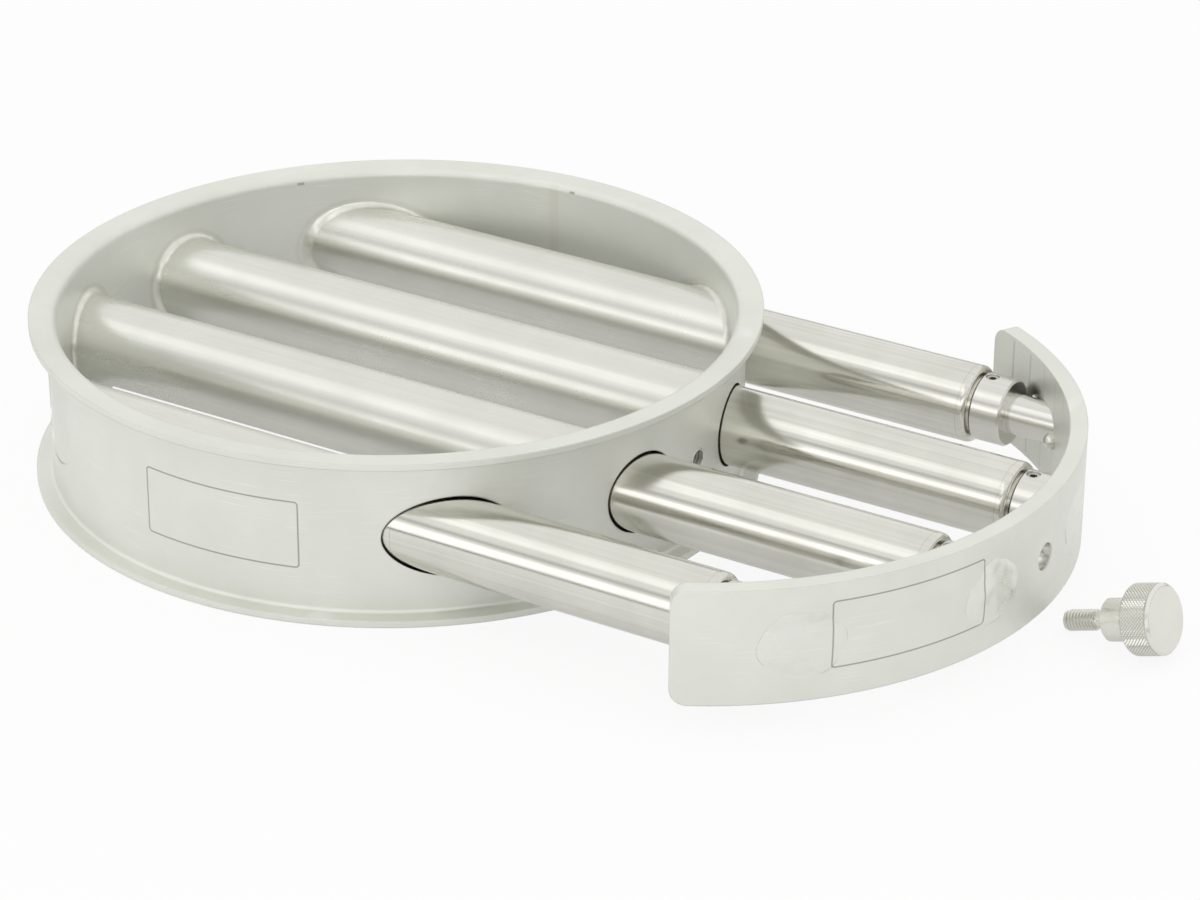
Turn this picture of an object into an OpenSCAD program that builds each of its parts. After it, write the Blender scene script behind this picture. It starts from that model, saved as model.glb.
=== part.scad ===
// Magnetic grate separator: a lipped ring with four closed sleeves across its bore, and an
// extractor of four magnet bars on a curved pull plate that slides out of the sleeves.
// Millimetres, +Z up. The origin is on the ring's axis, in the plane of its lower face.
// The bars run along X, and the plate is drawn out towards +X.

/* [Ring] */
// Inner diameter of the ring
bore_d = 198; // [190:1:220]
// Wall of the ring
wall_t = 3; // [2.5:0.25:4.5]
// Height of the ring from its lower to its upper face
ring_h = 50; // [46:1:70]
// How far each lip stands out from the wall
lip_w = 5; // [3:0.5:8]
// Thickness of each lip
lip_t = 2; // [1.5:0.25:3]
// Rounding of the bore's upper and lower edge
rim_r = 2.5; // [0.5:0.25:2.5]
// Fillet between a lip and the wall
lip_fillet = 1; // [0.5:0.25:1.5]

/* [Sleeves] */
// Clear width of the gap between two sleeves
sleeve_gap = 24.4; // [20:0.2:27]
// Wall of a sleeve
sleeve_t = 0.7; // [0.5:0.1:1.2]
// Thickness of the disc that closes a sleeve
cap_t = 1; // [0.8:0.1:2.5]
// How far that disc lies below the outside of the ring
cap_sink = 0.3; // [0.2:0.1:1.5]

/* [Magnet bars] */
// Outer diameter of a bar
bar_d = 23; // [20:0.5:25]
// Wall of a bar's tube
tube_t = 1; // [0.5:0.1:1.5]
// Thickness of the round nose that closes a bar
nose_t = 4; // [3:0.5:6]
// Rounding of the nose's edge
nose_r = 1; // [0.5:0.25:2.5]
// Length of a plug inside the tube
plug_l = 8; // [5:0.5:12]
// Thickness of the flange at a bar's outer end
flange_t = 2.5; // [2:0.25:4]
// Rounding of the flange's edge
flange_r = 1.75; // [0.5:0.25:1.75]
// Thickness of a pole disc
pole_t = 3; // [2:0.5:5]
// Length that one magnet and its pole disc take, before they fill the tube evenly
magnet_pitch = 26; // [15:1:30]

/* [Couplings] */
// Diameter of a coupling's collar
collar_d = 20; // [18:0.5:21]
// Length of a collar
collar_l = 9.8; // [9:0.2:12]
// Length of a collar along its short side, where the plate's curve cuts it back
collar_side = 7.7; // [6:0.1:9]
// Edge break at both ends of a collar
collar_edge = 0.6; // [0.2:0.1:1]
// Diameter of the neck between a flange and a collar
neck_d = 17; // [14:0.5:18]
// Width of the groove between a flange and a collar
neck_l = 0.8; // [0.5:0.1:1.5]
// Diameter of the spigot that sits in a collar
spigot_d = 10; // [8:0.5:11]
// Length of the spigot inside a collar
spigot_l = 7.5; // [5.5:0.5:8]
// Diameter of the stub between a collar and the plate
stub_d = 12; // [10:0.5:14]
// Thread diameter of the grub screws
grub_d = 4; // [3:0.5:5]
// Distance of a grub screw from the collar's groove end
grub_from = 2.8; // [2.6:0.1:4.5]
// How far a grub screw sits below the collar's top
grub_sink = 0.6; // [0.2:0.1:1]
// Key width of the grub screws
grub_key = 2; // [1.5:0.25:2.25]

/* [Pull plate] */
// Radial gap between the ring's wall and the plate when the bars are in
plate_gap = 2.5; // [1.5:0.25:5]
// Thickness of the plate
plate_t = 5; // [3:0.5:8]
// Height of the plate
plate_h = 34; // [28:0.5:38]
// Width of the plate from end to end, along its outer face
plate_w = 242; // [200:1:250]
// Corner radius of the plate
plate_corner = 5; // [2:0.5:10]
// Diameter of the hole for the lock screw
lock_hole_d = 8; // [7:0.25:10]
// How far the extractor is drawn out
pull_out = 101.5; // [60:0.5:150]

/* [Lock screw] */
// Thread diameter
lock_d = 6; // [4:0.5:7]
// Length of the threaded stud
stud_l = 13.5; // [12:0.5:20]
// Diameter of the shoulder
shoulder_d = 12; // [10:0.5:16]
// Length of the shoulder
shoulder_l = 8; // [4:0.5:10]
// Diameter of the knurled head
head_d = 20; // [18:0.5:26]
// Length of the head
head_l = 9.5; // [6:0.5:14]
// Edge break of the head and of the stud's tip
screw_edge = 0.7; // [0.3:0.1:1]
// Distance of the lying screw from the plate
lock_away = 4; // [2:0.5:30]
// Sideways place of the lying screw
lock_y = 8.5; // [-20:0.5:20]
// Heading of the lying screw
lock_turn = -3; // [-10:1:10]

/* [Fits] */
// Radial running clearance of a bar in its sleeve
bar_clear = 0.6; // [0.2:0.05:0.8]
// Gap left all round a welded or glued joint
seat_gap = 0.05; // [0.02:0.01:0.1]
// Gap between a bar's nose and its sleeve's cap when the bars are in
nose_gap = 0.5; // [0.5:0.25:3]
// Gap between a collar's cut-back side and the plate
collar_gap = 0.4; // [0.2:0.1:2]

/* [Hidden] */
$fn = 96;
BARS = 4;
mid_z = ring_h / 2;
ring_ri = bore_d / 2;
ring_ro = ring_ri + wall_t;
lip_r = ring_ro + lip_w;
reach = lip_r + lip_w;
sleeve_ri = bar_d / 2 + bar_clear;
sleeve_ro = sleeve_ri + sleeve_t;
pitch = 2 * sleeve_ro + sleeve_gap;
plate_ri = ring_ro + plate_gap;
plate_ro = plate_ri + plate_t;
plate_reach = plate_ro + plate_t;
plate_half = plate_w / plate_ro * 90 / PI;
corner_turn = plate_corner / plate_ro * 180 / PI;
plug_d = bar_d - 2 * tube_t - 2 * seat_gap;
grub_l = (collar_d - spigot_d) / 2 - grub_sink;

// Place of each bar across the ring, bar 1 at the far side
function bar_y(i) = ((BARS - 1) / 2 - i) * pitch;
// Distance along X from the ring's axis plane to a circle of radius r, at offset y
function chord(r, y) = sqrt(r * r - y * y);
// Place where a sleeve's cap reaches furthest in
function cap_x(i) = -chord(ring_ro - cap_sink - cap_t, abs(bar_y(i)) + sleeve_ri);
// Tip of a bar's nose, with the bars in
function nose_x(i) = cap_x(i) + nose_gap;
// Groove end of a collar, whose short side just clears the plate
function collar_from(i) = chord(plate_ri, abs(bar_y(i)) + collar_d / 2) - collar_gap - collar_side;
function collar_to(i) = collar_from(i) + collar_l;
// Outer end of a bar, at the groove before its collar
function bar_x(i) = collar_from(i) - neck_l;
// Ends of the tube that a bar's nose and flange close
function tube_from(i) = nose_x(i) + nose_t;
function tube_to(i) = bar_x(i) - flange_t;
// Ends of the magnet stack between the two plugs
function stack_from(i) = tube_from(i) + plug_l;
function stack_l(i) = tube_to(i) - plug_l - stack_from(i);
function magnet_n(i) = max(1, round(stack_l(i) / magnet_pitch));
function magnet_l(i) = (stack_l(i) - (magnet_n(i) + 1) * pole_t) / magnet_n(i);

// A round bar along X
module rod(from, to, r) {
    translate([from, 0, 0])
        rotate([0, 90, 0])
            cylinder(h = to - from, r = r);
}

// A profile of distance along X and radius, turned about X
module turned() {
    rotate([0, 90, 0])
        rotate_extrude()
            mirror([1, -1])
                children();
}

// Quarter disc that rounds an outer corner of such a profile, at its end towards way
module quarter(r, way) {
    intersection() {
        circle(r = r);
        translate([min(way, 0) * r, 0])
            square(r);
    }
}

// Children moved to the middle height of the ring, on the axis of bar i
module on_axis(i) {
    translate([0, bar_y(i), mid_z])
        children();
}

// Children moved with the extractor to where it is drawn out
module drawn_out() {
    translate([pull_out, 0, 0])
        children();
}

// Upright cylinder on the ring's axis, tall enough to trim what crosses the ring
module upright(r) {
    translate([0, 0, -lip_w])
        cylinder(h = ring_h + 2 * lip_w, r = r, $fn = 180);
}

// Half section of one lip with its fillet, lying at the bottom of the wall
module lip_section() {
    translate([ring_ro - wall_t / 2, 0])
        square([lip_w + wall_t / 2, lip_t]);
    difference() {
        translate([ring_ro - wall_t / 2, lip_t / 2])
            square([wall_t / 2 + lip_fillet, lip_t / 2 + lip_fillet]);
        translate([ring_ro + lip_fillet, lip_t + lip_fillet])
            circle(r = lip_fillet);
    }
}

// What the rounding takes off the bore's lower edge
module rim_cut() {
    difference() {
        translate([ring_ri - rim_r, -rim_r])
            square(2 * rim_r);
        translate([ring_ri + rim_r, rim_r])
            circle(r = rim_r);
    }
}

// Ring with its two lips, the sleeve holes and the tapped hole for the lock screw
module ring_housing() {
    color("gainsboro")
        difference() {
            rotate_extrude($fn = 180)
                difference() {
                    union() {
                        translate([ring_ri, 0])
                            square([wall_t, ring_h]);
                        lip_section();
                        translate([0, ring_h])
                            mirror([0, 1])
                                lip_section();
                    }
                    rim_cut();
                    translate([0, ring_h])
                        mirror([0, 1])
                            rim_cut();
                }
            for (i = [0:BARS - 1])
                on_axis(i)
                    rod(-reach, reach, sleeve_ro + seat_gap);
            translate([0, 0, mid_z]) {
                rod(0, reach, lock_d / 2);
                translate([ring_ro - screw_edge, 0, 0])
                    rotate([0, 90, 0])
                        cylinder(h = 2 * screw_edge, r1 = lock_d / 2, r2 = lock_d / 2 + 2 * screw_edge);
            }
        }
}

// Sleeve i, flush with the outside of the ring at both ends
module sleeve(i) {
    color("silver")
        difference() {
            intersection() {
                on_axis(i)
                    rod(-reach, reach, sleeve_ro);
                upright(ring_ro);
            }
            on_axis(i)
                rod(-reach - lip_w, reach + lip_w, sleeve_ri);
        }
}

// Disc that closes sleeve i, with the ring's own curve
module sleeve_cap(i) {
    color("gainsboro")
        intersection() {
            on_axis(i)
                rod(-reach, 0, sleeve_ri - seat_gap);
            difference() {
                upright(ring_ro - cap_sink);
                upright(ring_ro - cap_sink - cap_t);
            }
        }
}

// Outline of one end of the plate with its round corners, open towards the other end
module end_outline() {
    flat = plate_h - 2 * plate_corner;
    translate([-2 * plate_w, -plate_h / 2])
        square([2 * plate_w, plate_h]);
    translate([-2 * plate_w, -flat / 2])
        square([2 * plate_w + plate_corner, flat]);
    for (side = [-1, 1])
        translate([0, side * flat / 2])
            circle(r = plate_corner);
}

// That outline as a block, square to the plate's end at +Y
module end_block() {
    rotate([0, 0, plate_half - corner_turn])
        translate([-plate_reach, 0, mid_z])
            rotate([90, 0, 90])
                linear_extrude(height = 2 * plate_reach)
                    end_outline();
}

// Curved plate with round corners, the lock screw's hole and the holes of the stubs
module pull_plate() {
    color("gainsboro")
        drawn_out()
            difference() {
                intersection() {
                    rotate([0, 0, -plate_half - corner_turn])
                        rotate_extrude(angle = 2 * (plate_half + corner_turn), $fn = 180)
                            translate([plate_ri, 0])
                                square([plate_t, ring_h]);
                    end_block();
                    mirror([0, 1, 0])
                        end_block();
                }
                translate([0, 0, mid_z])
                    rod(ring_ro, plate_reach, lock_hole_d / 2);
                for (i = [0:BARS - 1])
                    on_axis(i)
                        rod(0, plate_reach, stub_d / 2 + seat_gap);
            }
}

// Coupling i: a collar with a blind socket, cut back where it would meet the plate, and a
// stub cut flush with the plate's outside
module coupling(i) {
    socket_to = collar_from(i) + spigot_l + seat_gap;
    color("lightgray")
        drawn_out()
            difference() {
                union() {
                    intersection() {
                        on_axis(i)
                            turned()
                                polygon([
                                    [collar_from(i), 0],
                                    [collar_from(i), collar_d / 2 - collar_edge],
                                    [collar_from(i) + collar_edge, collar_d / 2],
                                    [collar_to(i) - collar_edge, collar_d / 2],
                                    [collar_to(i), collar_d / 2 - collar_edge],
                                    [collar_to(i), 0]
                                ]);
                        upright(plate_ri - collar_gap);
                    }
                    intersection() {
                        on_axis(i)
                            rod(socket_to, plate_reach, stub_d / 2);
                        upright(plate_ro);
                    }
                }
                on_axis(i)
                    rod(collar_from(i) - neck_l, socket_to, spigot_d / 2 + seat_gap);
                on_axis(i)
                    translate([collar_from(i) + grub_from, 0, 0])
                        cylinder(h = collar_d, r = grub_d / 2 + seat_gap);
            }
}

// Tube of bar i
module bar_tube(i) {
    color("silver")
        drawn_out()
            on_axis(i)
                difference() {
                    rod(tube_from(i), tube_to(i), bar_d / 2);
                    rod(tube_from(i) - tube_t, tube_to(i) + tube_t, bar_d / 2 - tube_t);
                }
}

// Round nose that closes the inner end of bar i, with its plug in the tube
module bar_nose(i) {
    color("silver")
        drawn_out()
            on_axis(i)
                turned()
                    union() {
                        translate([nose_x(i), 0])
                            square([nose_r, bar_d / 2 - nose_r]);
                        translate([nose_x(i) + nose_r, bar_d / 2 - nose_r])
                            quarter(nose_r, -1);
                        translate([nose_x(i) + nose_r, 0])
                            square([nose_t - nose_r - seat_gap, bar_d / 2]);
                        translate([nose_x(i) + nose_r, 0])
                            square([nose_t - nose_r + plug_l, plug_d / 2]);
                    }
}

// End plug of bar i: the plug in the tube, the flange, the neck and the spigot
module bar_end(i) {
    color("silver")
        drawn_out()
            on_axis(i)
                turned()
                    union() {
                        translate([tube_to(i) - plug_l, 0])
                            square([plug_l + flange_t, plug_d / 2]);
                        translate([tube_to(i) + seat_gap, 0])
                            square([flange_t - flange_r - seat_gap, bar_d / 2]);
                        translate([bar_x(i) - flange_r, bar_d / 2 - flange_r])
                            quarter(flange_r, 1);
                        translate([tube_to(i) + seat_gap, 0])
                            square([flange_t - seat_gap, bar_d / 2 - flange_r]);
                        translate([bar_x(i) - flange_r, 0])
                            square([flange_r + neck_l - seat_gap, neck_d / 2]);
                        translate([bar_x(i), 0])
                            square([neck_l + spigot_l, spigot_d / 2]);
                    }
}

// Magnets of bar i, a stack with a pole disc at each end and between each two
module magnets(i) {
    color("dimgray")
        drawn_out()
            on_axis(i)
                for (k = [0:magnet_n(i) - 1])
                    translate([stack_from(i) + pole_t + k * (magnet_l(i) + pole_t), 0, 0])
                        rod(0, magnet_l(i), plug_d / 2);
}

// Pole discs of bar i
module pole_discs(i) {
    color("gray")
        drawn_out()
            on_axis(i)
                for (k = [0:magnet_n(i)])
                    translate([stack_from(i) + k * (magnet_l(i) + pole_t), 0, 0])
                        rod(0, pole_t, plug_d / 2);
}

// Grub screws that hold the spigots, one on top of each collar
module grub_screws() {
    color("darkgray")
        drawn_out()
            for (i = [0:BARS - 1])
                on_axis(i)
                    translate([collar_from(i) + grub_from, 0, spigot_d / 2])
                        difference() {
                            cylinder(h = grub_l, r = grub_d / 2);
                            translate([0, 0, grub_l - grub_key])
                                cylinder(h = 2 * grub_key, d = grub_key / cos(30), $fn = 6);
                        }
}

// Lock screw, lying on the table on its stud's tip and its head's inner edge
module lock_screw() {
    head_x = stud_l + shoulder_l;
    end_x = head_x + head_l;
    tilt = atan((head_d - lock_d) / 2 / head_x);
    tip_z = lock_d / 2 * cos(tilt) - screw_edge * sin(tilt);
    color("lightgray")
        translate([pull_out + plate_ro + lock_away, lock_y, tip_z])
            rotate([0, -tilt, lock_turn])
                turned()
                    polygon([
                        [0, 0],
                        [0, lock_d / 2 - screw_edge],
                        [screw_edge, lock_d / 2],
                        [stud_l, lock_d / 2],
                        [stud_l, shoulder_d / 2],
                        [head_x, shoulder_d / 2],
                        [head_x, head_d / 2 - screw_edge],
                        [head_x + screw_edge, head_d / 2],
                        [end_x - screw_edge, head_d / 2],
                        [end_x, head_d / 2 - screw_edge],
                        [end_x, 0]
                    ]);
}

ring_housing();
for (i = [1:BARS]) {
    sleeve(i - 1);
    sleeve_cap(i - 1);
    coupling(i - 1);
    bar_tube(i - 1);
    bar_nose(i - 1);
    bar_end(i - 1);
    magnets(i - 1);
    pole_discs(i - 1);
}
pull_plate();
grub_screws();
lock_screw();
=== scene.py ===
# %% [markdown]
# # A magnetic grate separator
# A lipped steel ring carries four closed sleeves across its bore. Four magnet bars on a curved
# pull plate slide in the sleeves, and in the photograph they are drawn halfway out. The solids
# come from the CAD frame. This lesson gives them their finishes, and adds what a welder and a
# lathe leave behind: weld beads, tack welds, dressed weld spots, threads and a knurl.

# %% Load the frame
import math

import bmesh
import bpy
from mathutils import Matrix, Vector


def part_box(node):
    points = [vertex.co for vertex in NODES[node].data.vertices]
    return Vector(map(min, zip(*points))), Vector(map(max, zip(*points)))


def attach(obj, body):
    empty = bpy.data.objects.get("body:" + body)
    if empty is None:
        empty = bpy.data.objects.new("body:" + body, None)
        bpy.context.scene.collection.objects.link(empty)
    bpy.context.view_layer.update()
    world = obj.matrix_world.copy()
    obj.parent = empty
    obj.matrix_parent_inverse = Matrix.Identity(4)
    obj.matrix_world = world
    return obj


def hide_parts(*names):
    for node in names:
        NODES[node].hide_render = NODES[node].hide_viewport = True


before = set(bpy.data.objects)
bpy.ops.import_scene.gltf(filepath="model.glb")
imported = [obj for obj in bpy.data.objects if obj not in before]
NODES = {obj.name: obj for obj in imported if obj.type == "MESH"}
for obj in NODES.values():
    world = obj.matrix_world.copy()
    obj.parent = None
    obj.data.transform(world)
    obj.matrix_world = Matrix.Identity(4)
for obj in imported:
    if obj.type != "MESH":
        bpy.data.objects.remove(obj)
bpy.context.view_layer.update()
MM = 0.001

# %% [markdown]
# ## Camera
# The picture was taken with a long lens from about 1.2 m away, 27 degrees above the table and
# 31 degrees to the right of the bars' square-on view. A look-at constraint could aim the
# camera, but three measured angles and a distance keep the view exact, so the camera's axes
# are built from them directly.

# %% Camera
AZIMUTH = math.radians(31.42)
ELEVATION = math.radians(26.54)
ROLL = math.radians(0.337)
EYE_BACK, EYE_RIGHT, EYE_UP = 1.22269, 0.05942, 0.00135
LENS, SENSOR = 123.4, 36
back = Vector((math.sin(AZIMUTH) * math.cos(ELEVATION),
               -math.cos(AZIMUTH) * math.cos(ELEVATION), math.sin(ELEVATION)))
right = Vector((math.cos(AZIMUTH), math.sin(AZIMUTH), 0))
up = back.cross(right)
bpy.ops.object.select_all(action="DESELECT")
bpy.ops.object.camera_add()
camera = bpy.context.object
camera.data.lens = LENS
camera.data.sensor_width = SENSOR
axes = Matrix((right * math.cos(ROLL) + up * math.sin(ROLL),
               up * math.cos(ROLL) - right * math.sin(ROLL), back)).transposed().to_4x4()
axes.translation = back * EYE_BACK + right * EYE_RIGHT + up * EYE_UP
camera.matrix_world = axes
bpy.context.scene.camera = camera
bpy.context.scene.view_settings.view_transform = "Standard"
print("camera at", [round(v, 3) for v in camera.matrix_world.translation])

# %% [markdown]
# ## Small helpers for node trees
# Every finish below is a handful of nodes. Placing them one by one takes four lines each, so
# one helper adds a node, sets its values and links its sockets. The others build on it: a sum,
# a length, a product of several masks, and a ramp from one range of values to another.

# %% Helpers for nodes
def add_node(tree, kind, sockets=None, **settings):
    made = tree.nodes.new(kind)
    for key, value in settings.items():
        setattr(made, key, value)
    for key, value in (sockets or {}).items():
        if isinstance(value, bpy.types.NodeSocket):
            tree.links.new(value, made.inputs[key])
        else:
            made.inputs[key].default_value = value
    return made


def math_node(tree, operation, *values):
    made = add_node(tree, "ShaderNodeMath", dict(enumerate(values)), operation=operation)
    return made.outputs[0]


def length_node(tree, a, b):
    squares = [math_node(tree, "POWER", value, 2.0) for value in (a, b)]
    return math_node(tree, "SQRT", math_node(tree, "ADD", *squares))


def product(tree, *values):
    joined = values[0]
    for value in values[1:]:
        joined = math_node(tree, "MULTIPLY", joined, value)
    return joined


def ramp(tree, value, start, end, low=0.0, high=1.0, kind="LINEAR"):
    made = add_node(tree, "ShaderNodeMapRange", {"Value": value, "From Min": start, "From Max": end,
                    "To Min": low, "To Max": high}, interpolation_type=kind)
    return made.outputs[0]


print("node helpers ready")

# %% [markdown]
# ## Table and studio
# The object stands on a white table. The table is white to the camera and to the metal, but
# part of it stays a plain matt surface, so the object still has a soft shadow under it. The
# table ends where a real one does, which draws the thin dark line that runs along the bars.

# %% Table
TABLE_SIZE, TABLE_X, TABLE_DROP = 3.0, 0.05, 0.3 * MM
SEEN_WHITE, MIRRORED_WHITE = 0.88, 0.28
WHITE, MATT_WHITE = (1, 1, 1, 1), (0.9, 0.9, 0.9, 1)
bpy.ops.object.select_all(action="DESELECT")
bpy.ops.mesh.primitive_plane_add(size=TABLE_SIZE, location=(TABLE_X, 0, -TABLE_DROP))
table = bpy.context.object
table.name = "table"
table_white = bpy.data.materials.new("table_white")
table_white.use_nodes = True
tree = table_white.node_tree
tree.nodes.clear()
path = add_node(tree, "ShaderNodeLightPath")
seen = math_node(tree, "MULTIPLY", path.outputs["Is Camera Ray"], SEEN_WHITE)
mirrored = math_node(tree, "ADD", path.outputs["Is Glossy Ray"], path.outputs["Is Transmission Ray"])
share = math_node(tree, "MULTIPLY_ADD", mirrored, MIRRORED_WHITE, seen)
matt = add_node(tree, "ShaderNodeBsdfDiffuse", {"Color": MATT_WHITE})
glow = add_node(tree, "ShaderNodeEmission", {"Color": WHITE, "Strength": 1.0})
mix = add_node(tree, "ShaderNodeMixShader", {0: share, 1: matt.outputs[0], 2: glow.outputs[0]})
add_node(tree, "ShaderNodeOutputMaterial", {"Surface": mix.outputs[0]})
table.data.materials.append(table_white)
print("table", TABLE_SIZE, "m")

# %% [markdown]
# Around the table is a plain studio. The camera sees it white. The metal sees pale walls with
# a dark strip at table height and a dim gap between the low and the high soft box, because
# polished tubes only look like metal when there is something darker to mirror.

# %% World
WALLS, SKIRTING, GAP_DIM = 0.94, 0.30, 0.45
SKIRTING_TOP, NEAR_SIDE = (0.05, 0.09), (-0.45, -0.15)
GAP_FROM, GAP_TO = (0.45, 0.50), (0.55, 0.60)
ROOM_WHITE = (1, 1, 0.985, 1)
world = bpy.context.scene.world or bpy.data.worlds.new("studio")
bpy.context.scene.world = world
world.use_nodes = True
tree = world.node_tree
tree.nodes.clear()
path = add_node(tree, "ShaderNodeLightPath")
heading = add_node(tree, "ShaderNodeSeparateXYZ",
                   {0: add_node(tree, "ShaderNodeTexCoord").outputs["Generated"]})


def soft_step(axis, ends, low, high):
    return ramp(tree, heading.outputs[axis], *ends, low, high, "SMOOTHSTEP")


gap = product(tree, soft_step("Z", GAP_FROM, 0.0, GAP_DIM), soft_step("Z", GAP_TO, 1.0, 0.0),
              soft_step("Y", NEAR_SIDE, 1.0, 0.0))
level = product(tree, math_node(tree, "SUBTRACT", 1.0, gap),
                soft_step("Z", SKIRTING_TOP, SKIRTING, 1.0), WALLS)
room = add_node(tree, "ShaderNodeBackground", {"Color": ROOM_WHITE, "Strength": level})
plain = add_node(tree, "ShaderNodeBackground", {"Color": WHITE, "Strength": 1.0})
mix = add_node(tree, "ShaderNodeMixShader", {0: path.outputs["Is Camera Ray"],
               1: room.outputs[0], 2: plain.outputs[0]})
add_node(tree, "ShaderNodeOutputWorld", {"Surface": mix.outputs[0]})
print("world: white to the camera, a pale room to the metal")

# %% [markdown]
# Three soft boxes light the set from the camera's side. A high one and a long low one each draw
# a bright band along every tube, and a small one at the right fills the walls that face it. A
# lamp adds its light to the room behind it, so all are weak. Power goes with their area.

# %% Soft boxes
def soft_box(name, place, target, width, height, brightness):
    bpy.ops.object.select_all(action="DESELECT")
    bpy.ops.object.light_add(type="AREA", location=place)
    lamp = bpy.context.object
    lamp.name = name
    lamp.data.shape = "RECTANGLE"
    lamp.data.size, lamp.data.size_y = width, height
    lamp.data.energy = brightness * math.pi * width * height
    aim = Vector(target) - Vector(place)
    lamp.rotation_euler = aim.to_track_quat("-Z", "Y").to_euler()


soft_box("high_box", place=(-0.4, -0.85, 1.55), target=(0.05, 0, 0.03), width=2.6, height=0.62,
         brightness=0.32)
soft_box("near_box", place=(-0.5, -1.9, 0.52), target=(0.05, 0, 0.05), width=3.6, height=0.62,
         brightness=0.60)
soft_box("side_box", place=(1.15, -1.4, 0.6), target=(0.05, 0, 0.03), width=1.0, height=0.6,
         brightness=0.60)
print("three soft boxes")

# %% [markdown]
# ## Shared finish effects
# Some effects come back in several finishes, so each is a shader node group with its own named
# inputs. A group only puts out values, and the shader stays in each material. The first is the
# grain of pickled steel: the acid bites unevenly, which leaves soft clouds and a fine grain.
# Two noises of different size give both, and they need no picture and no seams.

# %% Group helpers and the pickled grain
VECTOR, FLOAT = "NodeSocketVector", "NodeSocketFloat"


def new_group(name, inputs, outputs):
    group = bpy.data.node_groups.new(name, "ShaderNodeTree")
    for title, kind, value in inputs:
        socket = group.interface.new_socket(title, in_out="INPUT", socket_type=kind)
        if value is not None:
            socket.default_value = value
    for title in outputs:
        group.interface.new_socket(title, in_out="OUTPUT", socket_type=FLOAT)
    return group, group.nodes.new("NodeGroupInput").outputs, group.nodes.new("NodeGroupOutput").inputs


def noise(tree, place, scale, detail, roughness=0.5):
    made = add_node(tree, "ShaderNodeTexNoise", {"Vector": place, "Scale": scale, "Detail": detail,
                    "Roughness": roughness})
    return made.outputs["Fac"]


grain_group, given, result = new_group(
    "pickled_grain", [("Place", VECTOR, None), ("Cloud Size", FLOAT, 30.0),
                      ("Grain Size", FLOAT, 1500.0)], ["Clouds", "Grain"])
clouds = noise(grain_group, given["Place"], given["Cloud Size"], detail=4.0, roughness=0.6)
grain = noise(grain_group, given["Place"], given["Grain Size"], detail=2.0)
grain_group.links.new(clouds, result["Clouds"])
grain_group.links.new(grain, result["Grain"])
print("group", grain_group.name)

# %% [markdown]
# A polishing belt leaves fine lines along a tube. Cut as real grooves they would take millions
# of faces, so the group stretches a noise: slow along the tube, and quick across it.

# %% Group for the satin lines
lines_group, given, result = new_group(
    "satin_lines", [("Place", VECTOR, None), ("Along", FLOAT, 5.0), ("Across", FLOAT, 700.0)],
    ["Lines"])
stretch = add_node(lines_group, "ShaderNodeCombineXYZ", {"X": given["Along"], "Y": given["Across"],
                   "Z": given["Across"]})
drawn = add_node(lines_group, "ShaderNodeVectorMath", {0: given["Place"], 1: stretch.outputs[0]},
                 operation="MULTIPLY")
lines = noise(lines_group, drawn.outputs[0], 1.0, detail=3.0, roughness=0.6)
lines_group.links.new(lines, result["Lines"])
print("group", lines_group.name)

# %% [markdown]
# Handling leaves short fine scratches, here and there. They could be drawn one by one, but no
# eye follows a single one. So only the peaks of a stretched noise are kept, and of those only
# the ones in the patches that a second, broader noise picks out.

# %% Group for fine scratches
SCRATCH_STRETCH, SCRATCH_PEAKS = (60.0, 60.0, 3200.0), (0.66, 0.74)
PATCH_SCALE, PATCH_PEAKS = 55.0, (0.50, 0.62)
scratch_group, given, result = new_group(
    "fine_scratches", [("Place", VECTOR, None), ("Turn", VECTOR, (0.0, 0.3, 0.4)),
                       ("Amount", FLOAT, 0.5)], ["Scratches"])
turned_place = add_node(scratch_group, "ShaderNodeMapping", {"Vector": given["Place"],
                        "Rotation": given["Turn"], "Scale": SCRATCH_STRETCH})
strokes = noise(scratch_group, turned_place.outputs[0], 1.0, detail=1.0, roughness=0.4)
patches = noise(scratch_group, given["Place"], PATCH_SCALE, detail=1.0)
marks = product(scratch_group, ramp(scratch_group, strokes, *SCRATCH_PEAKS),
                ramp(scratch_group, patches, *PATCH_PEAKS), given["Amount"])
scratch_group.links.new(marks, result["Scratches"])
print("group", scratch_group.name)

# %% [markdown]
# The heat of welding marks the metal round the bars, and the four bars lie side by side at one
# pitch. Four masks would do, but one ruler is enough: it folds the whole width into one lane
# and measures how far a point lies from the axis of its lane.

# %% Group that measures from the bars' axes
BAR_PITCH, MID_Z = 50 * MM, 25 * MM
axis_group, given, result = new_group(
    "bar_axis", [("Place", VECTOR, None)], ["Sideways", "Above", "Distance"])
where = add_node(axis_group, "ShaderNodeSeparateXYZ", {0: given["Place"]})
lane = math_node(axis_group, "FLOORED_MODULO", math_node(
    axis_group, "ADD", where.outputs["Y"], 2 * BAR_PITCH), BAR_PITCH)
sideways = math_node(axis_group, "SUBTRACT", lane, BAR_PITCH / 2)
above = math_node(axis_group, "SUBTRACT", where.outputs["Z"], MID_Z)
distance = length_node(axis_group, sideways, above)
for title, value in (("Sideways", sideways), ("Above", above), ("Distance", distance)):
    axis_group.links.new(value, result[title])
print("group", axis_group.name)

# %% [markdown]
# The frames on the ring and on the plate are etched: a thin grey line round a blank field. A
# line could be modelled as a raised wire, but etching has no height. So the group unrolls the
# curved wall into a flat sheet, and marks what lies close to a rounded rectangle.

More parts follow.
